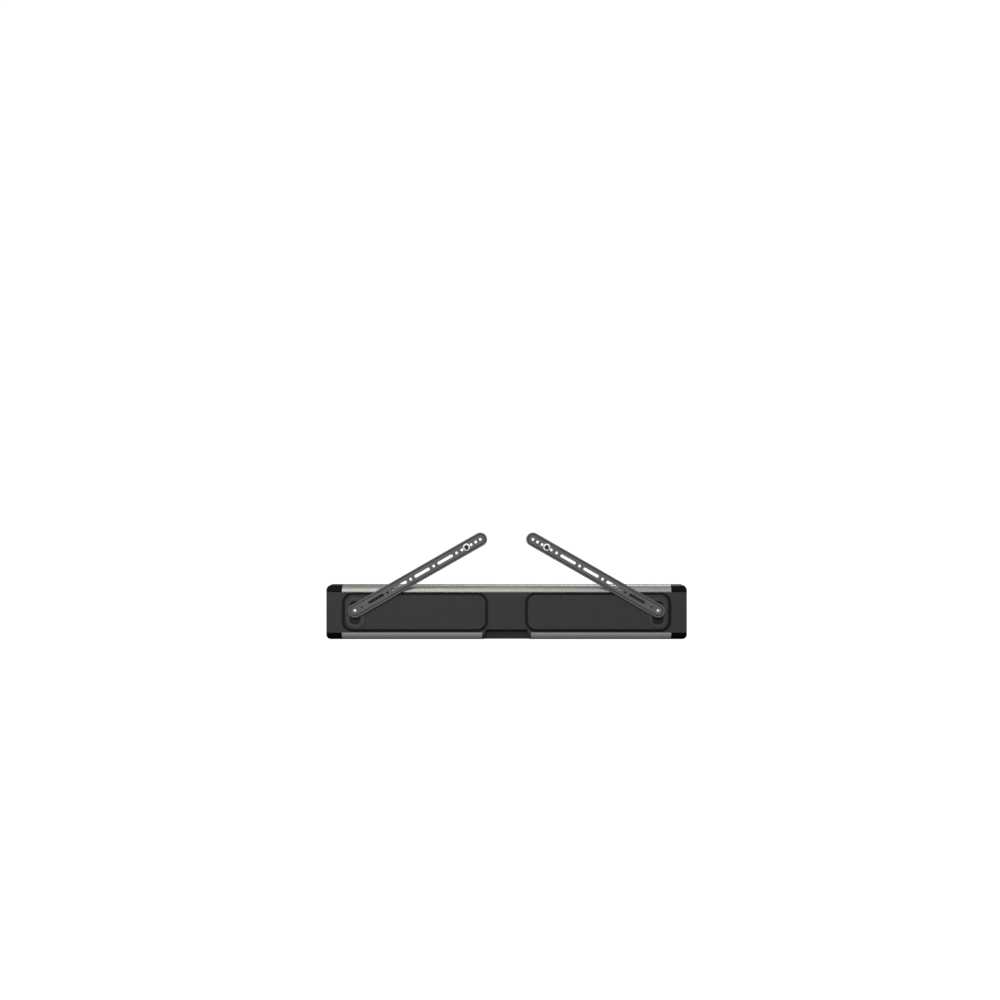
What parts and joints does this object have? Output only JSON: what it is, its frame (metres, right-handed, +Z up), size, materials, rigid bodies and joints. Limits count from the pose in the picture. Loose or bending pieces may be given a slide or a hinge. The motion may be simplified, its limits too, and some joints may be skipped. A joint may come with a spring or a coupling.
{
  "type": "soundbar",
  "caption": "Long low soundbar with a cloth grille, aluminium edge trims, rubber foot pads and keyholes, hung from the back of a television on swinging bracket arms.",
  "frame": {"origin": "middle of the bar's length and height, on the plane of the rubber foot pads' rear faces, level with the wall or television it hangs on", "axes": "+X along the bar, to the listener's right when facing the grille; +Y from the grille to the rear; +Z up"},
  "size_m": [0.9005, 0.0988, 0.2674],
  "materials": {
    "cover_plastic": "fine spark-eroded texture, matte",
    "cap_plastic": "satin moulded black",
    "chassis_plastic": "plain moulded black",
    "pad_rubber": "matte rubber with a soft edge",
    "bezel_plastic": "satin moulded dark grey",
    "trim_aluminium": "brushed along its length, clear anodised",
    "grille_cloth": "tight woven acoustic cloth",
    "grille_frame": "plain moulded",
    "bay_plastic": "satin moulded",
    "zinc_steel": "bright zinc plate",
    "black_steel": "black oxide",
    "plate_steel": "plain galvanised sheet",
    "arm_aluminium": "cast, powder coated dark grey",
    "basket_steel": "pressed and painted black",
    "magnet": "ferrite with plated plates",
    "cone_paper": "treated pulp",
    "surround_rubber": "soft rubber",
    "dome_fabric": "coated silk dome",
    "board_laminate": "glass-epoxy board with solder mask",
    "chip_plastic": "moulded packages",
    "shield_tin": "tinned sheet",
    "sink_aluminium": "extruded, plain",
    "transformer": "ferrite core with taped winding",
    "capacitor": "sleeved cans",
    "button_plastic": "satin moulded",
    "light_pipe": "clear light pipe",
    "jack_plastic": "moulded black"
  },
  "bodies": {
    "enclosure": {"rear_cover": "cover_plastic", "end_cap_left": "cap_plastic", "end_cap_right": "cap_plastic", "chassis": "chassis_plastic", "foot_pad_left": "pad_rubber", "foot_pad_right": "pad_rubber", "keyhole_bezels": "bezel_plastic", "keyhole_plates": "plate_steel", "top_trim": "trim_aluminium", "bottom_trim_left": "trim_aluminium", "bottom_trim_right": "trim_aluminium", "grille_cloth": "grille_cloth", "grille_frame": "grille_frame", "port_bay": "bay_plastic", "woofer_baskets": "basket_steel", "woofer_magnets": "magnet", "woofer_surrounds": "surround_rubber", "tweeter_bodies": "chassis_plastic", "tweeter_domes": "dome_fabric", "driver_screws": "black_steel", "housing_screws": "black_steel", "mains_inlet": "jack_plastic", "ethernet_jacks": "jack_plastic", "optical_jack": "jack_plastic", "connector_board": "board_laminate", "main_board": "board_laminate", "wireless_shield": "shield_tin", "main_board_chips": "chip_plastic", "amplifier_board": "board_laminate", "amplifier_heat_sink": "sink_aluminium", "power_board": "board_laminate", "power_transformer": "transformer", "power_capacitors": "capacitor", "sensor_board": "board_laminate", "status_light": "light_pipe", "wireless_aerials": "board_laminate", "key_board": "board_laminate"},
    "hanger_left": {"keyhole_nut_left": "zinc_steel", "hanger_spacer_left": "zinc_steel", "pivot_screw_left": "zinc_steel"},
    "hanger_right": {"keyhole_nut_right": "zinc_steel", "hanger_spacer_right": "zinc_steel", "pivot_screw_right": "zinc_steel"},
    "arm_left": {"arm_left": "arm_aluminium", "tv_washer_left": "zinc_steel", "tv_screw_left": "black_steel"},
    "arm_right": {"arm_right": "arm_aluminium", "tv_washer_right": "zinc_steel", "tv_screw_right": "black_steel"},
    "mute_key": {"button_mute": "button_plastic"},
    "volume_up_key": {"button_volume_up": "button_plastic"},
    "volume_down_key": {"button_volume_down": "button_plastic"},
    "optical_shutter": {"optical_shutter": "jack_plastic"},
    "woofer_1": {"woofer_cone_1": "cone_paper"},
    "woofer_2": {"woofer_cone_2": "cone_paper"},
    "woofer_3": {"woofer_cone_3": "cone_paper"},
    "woofer_4": {"woofer_cone_4": "cone_paper"},
    "woofer_5": {"woofer_cone_5": "cone_paper"},
    "woofer_6": {"woofer_cone_6": "cone_paper"}
  },
  "joints": [
    {"name": "left_hanger_slide", "type": "slide", "parent": "enclosure", "child": "hanger_left", "axis": [0, 0, -1], "range_m": [0, 0.016]},
    {"name": "left_arm_pivot", "type": "hinge", "parent": "hanger_left", "child": "arm_left", "pos_m": [-0.3778, 0.0037, 0.004], "axis": [0, -1, 0], "range_deg": [-14, 315]},
    {"name": "right_hanger_slide", "type": "slide", "parent": "enclosure", "child": "hanger_right", "axis": [0, 0, -1], "range_m": [0, 0.016]},
    {"name": "right_arm_pivot", "type": "hinge", "parent": "hanger_right", "child": "arm_right", "pos_m": [0.3778, 0.0037, 0.004], "axis": [0, 1, 0], "range_deg": [-14, 315]},
    {"name": "mute_press", "type": "slide", "parent": "enclosure", "child": "mute_key", "axis": [-1, 0, 0], "range_m": [0, 0.0008], "stiffness_N_per_m": 1500, "springref_m": -0.0006},
    {"name": "volume_up_press", "type": "slide", "parent": "enclosure", "child": "volume_up_key", "axis": [-1, 0, 0], "range_m": [0, 0.0008], "stiffness_N_per_m": 1500, "springref_m": -0.0006},
    {"name": "volume_down_press", "type": "slide", "parent": "enclosure", "child": "volume_down_key", "axis": [-1, 0, 0], "range_m": [0, 0.0008], "stiffness_N_per_m": 1500, "springref_m": -0.0006},
    {"name": "optical_shutter_hinge", "type": "hinge", "parent": "enclosure", "child": "optical_shutter", "pos_m": [0.01, -0.012, -0.0399], "axis": [-1, 0, 0], "range_deg": [0, 80], "stiffness_Nm_per_rad": 0.0005, "springref_deg": -17.19},
    {"name": "woofer_1_travel", "type": "slide", "parent": "enclosure", "child": "woofer_1", "axis": [0, -1, 0], "range_m": [-0.003, 0.003], "stiffness_N_per_m": 1500},
    {"name": "woofer_2_travel", "type": "slide", "parent": "enclosure", "child": "woofer_2", "axis": [0, -1, 0], "range_m": [-0.003, 0.003], "stiffness_N_per_m": 1500},
    {"name": "woofer_3_travel", "type": "slide", "parent": "enclosure", "child": "woofer_3", "axis": [0, -1, 0], "range_m": [-0.003, 0.003], "stiffness_N_per_m": 1500},
    {"name": "woofer_4_travel", "type": "slide", "parent": "enclosure", "child": "woofer_4", "axis": [0, -1, 0], "range_m": [-0.003, 0.003], "stiffness_N_per_m": 1500},
    {"name": "woofer_5_travel", "type": "slide", "parent": "enclosure", "child": "woofer_5", "axis": [0, -1, 0], "range_m": [-0.003, 0.003], "stiffness_N_per_m": 1500},
    {"name": "woofer_6_travel", "type": "slide", "parent": "enclosure", "child": "woofer_6", "axis": [0, -1, 0], "range_m": [-0.003, 0.003], "stiffness_N_per_m": 1500}
  ]
}
